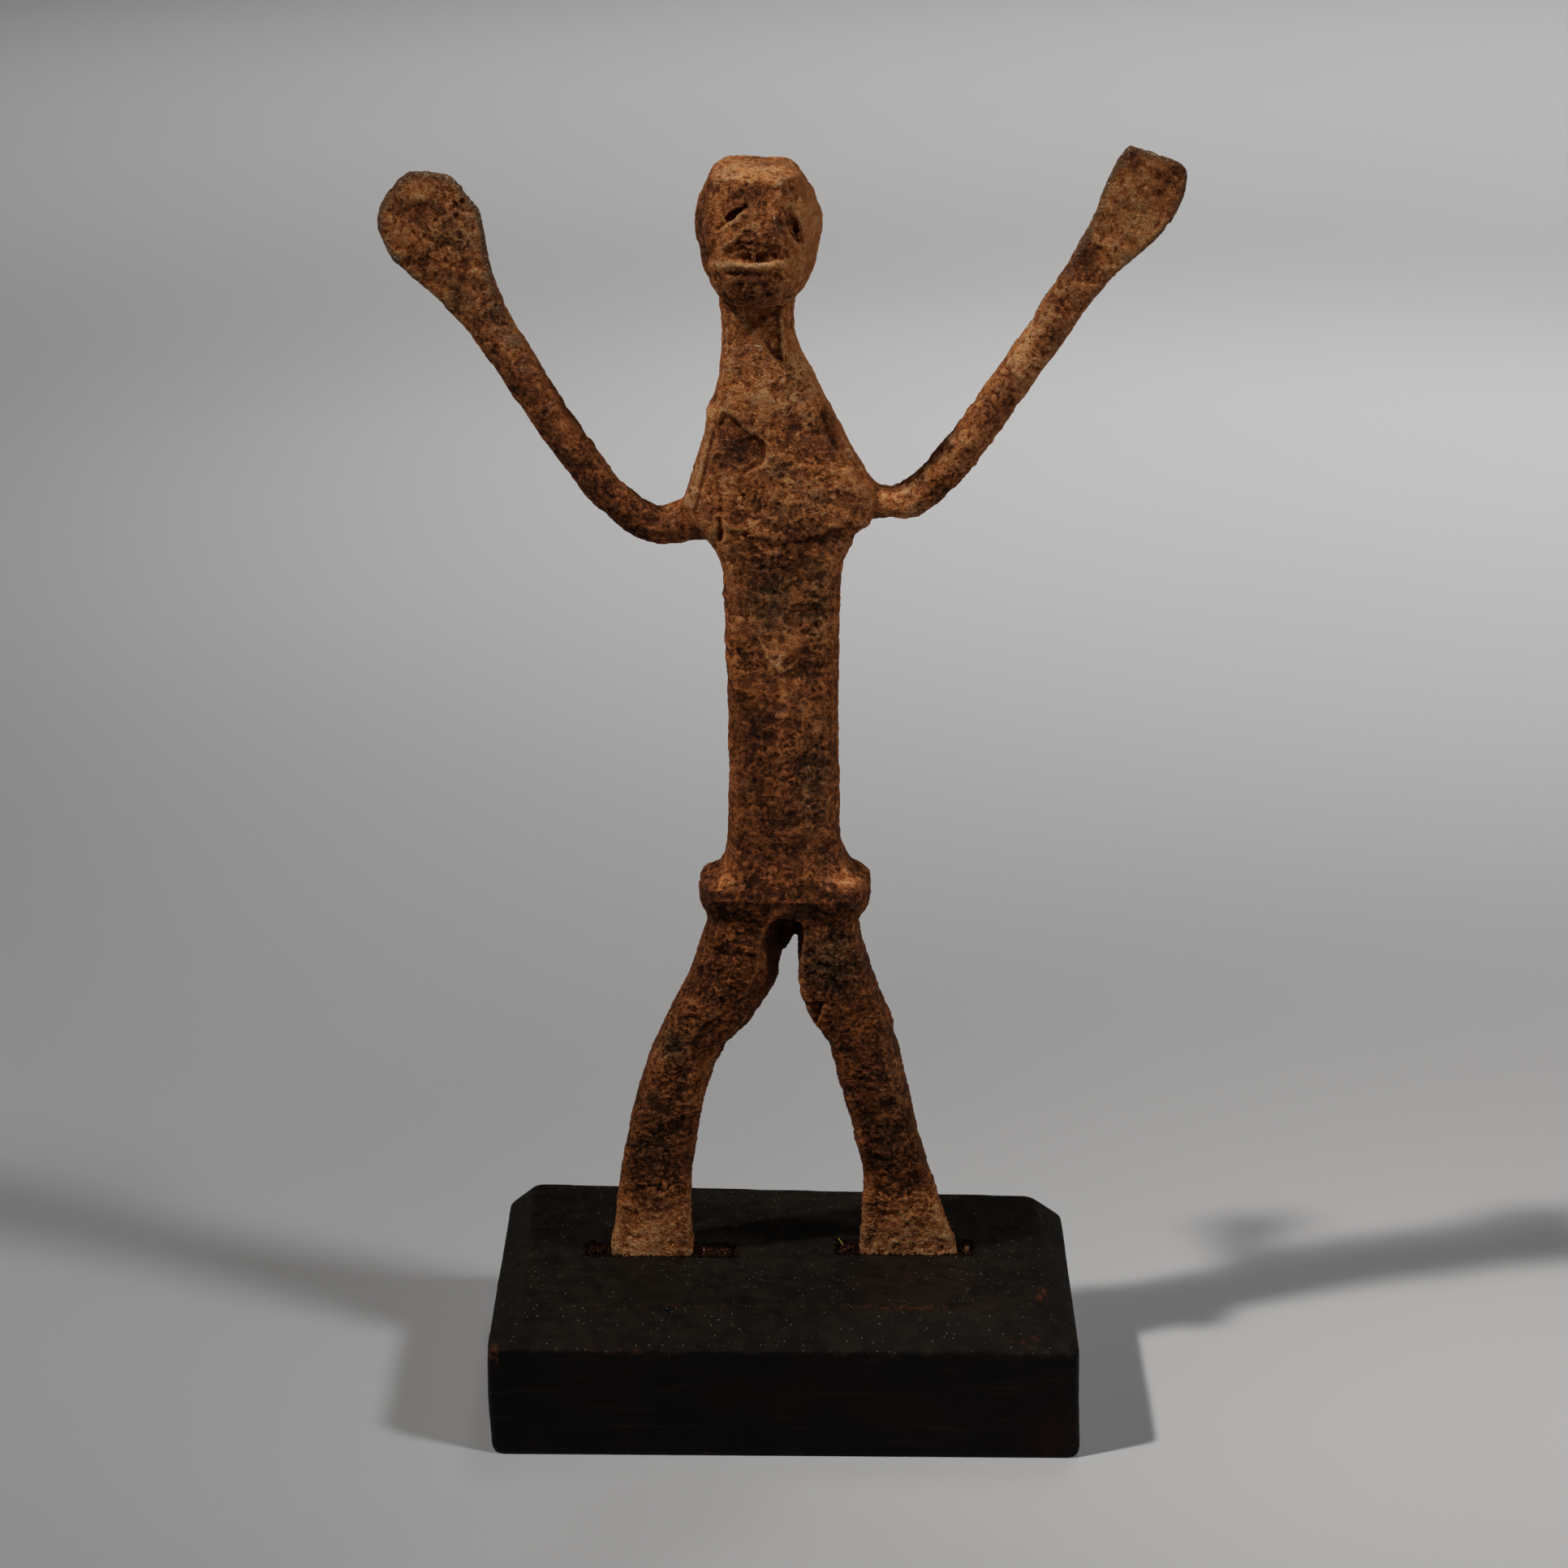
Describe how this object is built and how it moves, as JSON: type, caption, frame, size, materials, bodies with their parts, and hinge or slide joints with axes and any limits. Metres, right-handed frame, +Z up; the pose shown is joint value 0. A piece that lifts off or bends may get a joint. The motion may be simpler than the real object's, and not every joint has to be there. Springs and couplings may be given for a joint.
{
  "type": "forged iron figure on a wooden base",
  "caption": "Slender forged iron figure with raised arms and flattened hands, standing astride in slots of a bevelled black wooden base.",
  "frame": {"origin": "on the base's underside, near its middle, below the gap between the legs", "axes": "+Z up through the figure, -Y out of the figure's face and the base's bevelled front, +X to the viewer's right"},
  "size_m": [0.1666, 0.0776, 0.2768],
  "materials": {
    "rusty_iron": "forged iron with a rough, dry, orange-brown and black rust patina",
    "black_wood": "black-stained wood with a soft wax sheen, worn brown along the edges"
  },
  "bodies": {
    "root": {"figure": "rusty_iron", "base": "black_wood"}
  },
  "joints": []
}
